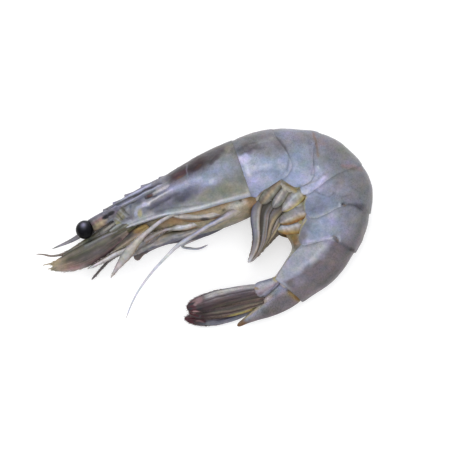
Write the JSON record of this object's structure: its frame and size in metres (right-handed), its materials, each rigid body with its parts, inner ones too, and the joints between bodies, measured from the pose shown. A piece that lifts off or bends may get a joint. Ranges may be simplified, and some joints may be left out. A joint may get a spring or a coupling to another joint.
{
  "type": "raw tiger prawn",
  "caption": "Whole raw prawn lying on its side, body curled, with toothed rostrum, stalked eyes, feelers, folded legs, lapping shell plates, swimmerets and a closed tail fan.",
  "frame": {"origin": "under the middle of the prawn's outline, on the flat it rests on", "axes": "the head points to -X, the back and the bend of the body to +Y and +X, and the animal's left side faces +Z"},
  "size_m": [0.108, 0.064, 0.0191],
  "materials": {
    "shell": "wet translucent grey-blue shell with fine dark speckle",
    "tail": "wet brown-grey tail shell, dark red at the tips",
    "flesh": "moist ochre membrane over pale flesh",
    "limb": "wet pale translucent limb shell",
    "feeler": "wet olive-brown shell with lengthwise stripes",
    "eye": "glossy black"
  },
  "bodies": {
    "root": {"abdomen_flesh": "flesh", "antennal_scale_left": "feeler", "antennal_scale_right": "feeler", "antennule_left": "feeler", "antennule_right": "feeler", "carapace": "shell", "eye_left": "eye", "eye_right": "eye", "eyestalk_left": "limb", "eyestalk_right": "limb", "fan_base_left": "tail", "fan_base_right": "tail", "fan_blade_inner_left": "tail", "fan_blade_inner_right": "tail", "fan_blade_outer_left": "tail", "fan_blade_outer_right": "tail", "leg_1_left": "limb", "leg_1_right": "limb", "leg_2_left": "limb", "leg_2_right": "limb", "leg_3_left": "limb", "leg_3_right": "limb", "leg_4_left": "limb", "leg_4_right": "limb", "leg_5_left": "limb", "leg_5_right": "limb", "maxilliped_left": "limb", "maxilliped_right": "limb", "plate_1": "shell", "plate_2": "shell", "plate_3": "shell", "plate_4": "shell", "plate_5": "shell", "plate_6": "shell", "swimmeret_1_left": "limb", "swimmeret_1_right": "limb", "swimmeret_2_left": "limb", "swimmeret_2_right": "limb", "swimmeret_3_left": "limb", "swimmeret_3_right": "limb", "swimmeret_4_left": "limb", "swimmeret_4_right": "limb", "swimmeret_5_left": "limb", "swimmeret_5_right": "limb", "telson": "shell", "thorax": "flesh"}
  },
  "joints": []
}
